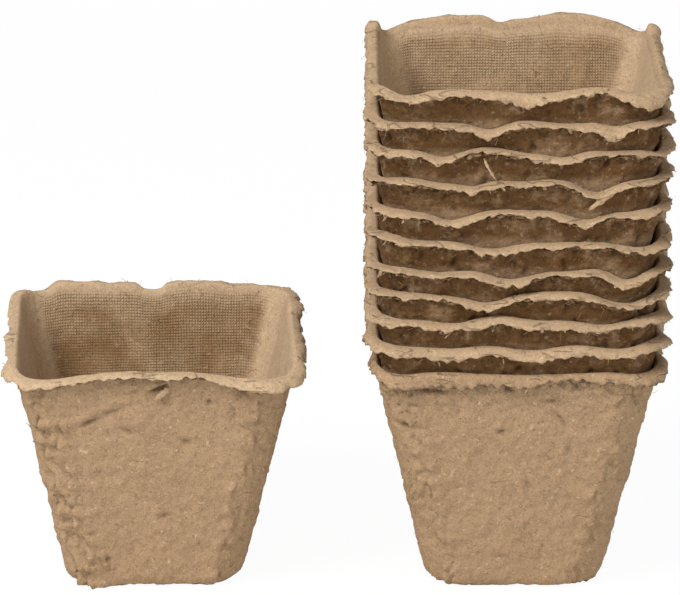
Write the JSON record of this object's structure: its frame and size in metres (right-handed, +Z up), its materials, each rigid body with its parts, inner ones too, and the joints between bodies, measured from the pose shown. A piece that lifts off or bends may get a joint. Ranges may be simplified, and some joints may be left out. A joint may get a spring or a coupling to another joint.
{
  "type": "peat pot set",
  "caption": "Square tapered peat pots with folded ragged lips: a nested stack beside one loose pot, for raising seedlings that are planted out pot and all.",
  "frame": {"origin": "middle of the foot of the lowest pot in the stack, on the table", "axes": "+X from the loose pot towards the stack, +Y from the front of the pots to their back, +Z up"},
  "size_m": [0.176, 0.0819, 0.1416],
  "materials": {
    "peat_pulp": "matt moulded fibre"
  },
  "bodies": {
    "stack_pot_01": {"stack_pot_01": "peat_pulp"},
    "stack_pot_02": {"stack_pot_02": "peat_pulp"},
    "stack_pot_03": {"stack_pot_03": "peat_pulp"},
    "stack_pot_04": {"stack_pot_04": "peat_pulp"},
    "stack_pot_05": {"stack_pot_05": "peat_pulp"},
    "stack_pot_06": {"stack_pot_06": "peat_pulp"},
    "stack_pot_07": {"stack_pot_07": "peat_pulp"},
    "stack_pot_08": {"stack_pot_08": "peat_pulp"},
    "stack_pot_09": {"stack_pot_09": "peat_pulp"},
    "stack_pot_10": {"stack_pot_10": "peat_pulp"},
    "stack_pot_11": {"stack_pot_11": "peat_pulp"},
    "single_pot": {"single_pot": "peat_pulp"}
  },
  "joints": [
    {"name": "stack_pot_02_lift", "type": "slide", "parent": "stack_pot_01", "child": "stack_pot_02", "axis": [0, 0, 1], "range_m": [0, 0.07]},
    {"name": "stack_pot_03_lift", "type": "slide", "parent": "stack_pot_02", "child": "stack_pot_03", "axis": [0, 0, 1], "range_m": [0, 0.07]},
    {"name": "stack_pot_04_lift", "type": "slide", "parent": "stack_pot_03", "child": "stack_pot_04", "axis": [0, 0, 1], "range_m": [0, 0.07]},
    {"name": "stack_pot_05_lift", "type": "slide", "parent": "stack_pot_04", "child": "stack_pot_05", "axis": [0, 0, 1], "range_m": [0, 0.07]},
    {"name": "stack_pot_06_lift", "type": "slide", "parent": "stack_pot_05", "child": "stack_pot_06", "axis": [0, 0, 1], "range_m": [0, 0.07]},
    {"name": "stack_pot_07_lift", "type": "slide", "parent": "stack_pot_06", "child": "stack_pot_07", "axis": [0, 0, 1], "range_m": [0, 0.07]},
    {"name": "stack_pot_08_lift", "type": "slide", "parent": "stack_pot_07", "child": "stack_pot_08", "axis": [0, 0, 1], "range_m": [0, 0.07]},
    {"name": "stack_pot_09_lift", "type": "slide", "parent": "stack_pot_08", "child": "stack_pot_09", "axis": [0, 0, 1], "range_m": [0, 0.07]},
    {"name": "stack_pot_10_lift", "type": "slide", "parent": "stack_pot_09", "child": "stack_pot_10", "axis": [0, 0, 1], "range_m": [0, 0.07]},
    {"name": "stack_pot_11_lift", "type": "slide", "parent": "stack_pot_10", "child": "stack_pot_11", "axis": [0, 0, 1], "range_m": [0, 0.07]},
    {"name": "single_pot_lift", "type": "slide", "parent": "stack_pot_01", "child": "single_pot", "axis": [0, 0, 1], "range_m": [0, 0.15]}
  ]
}
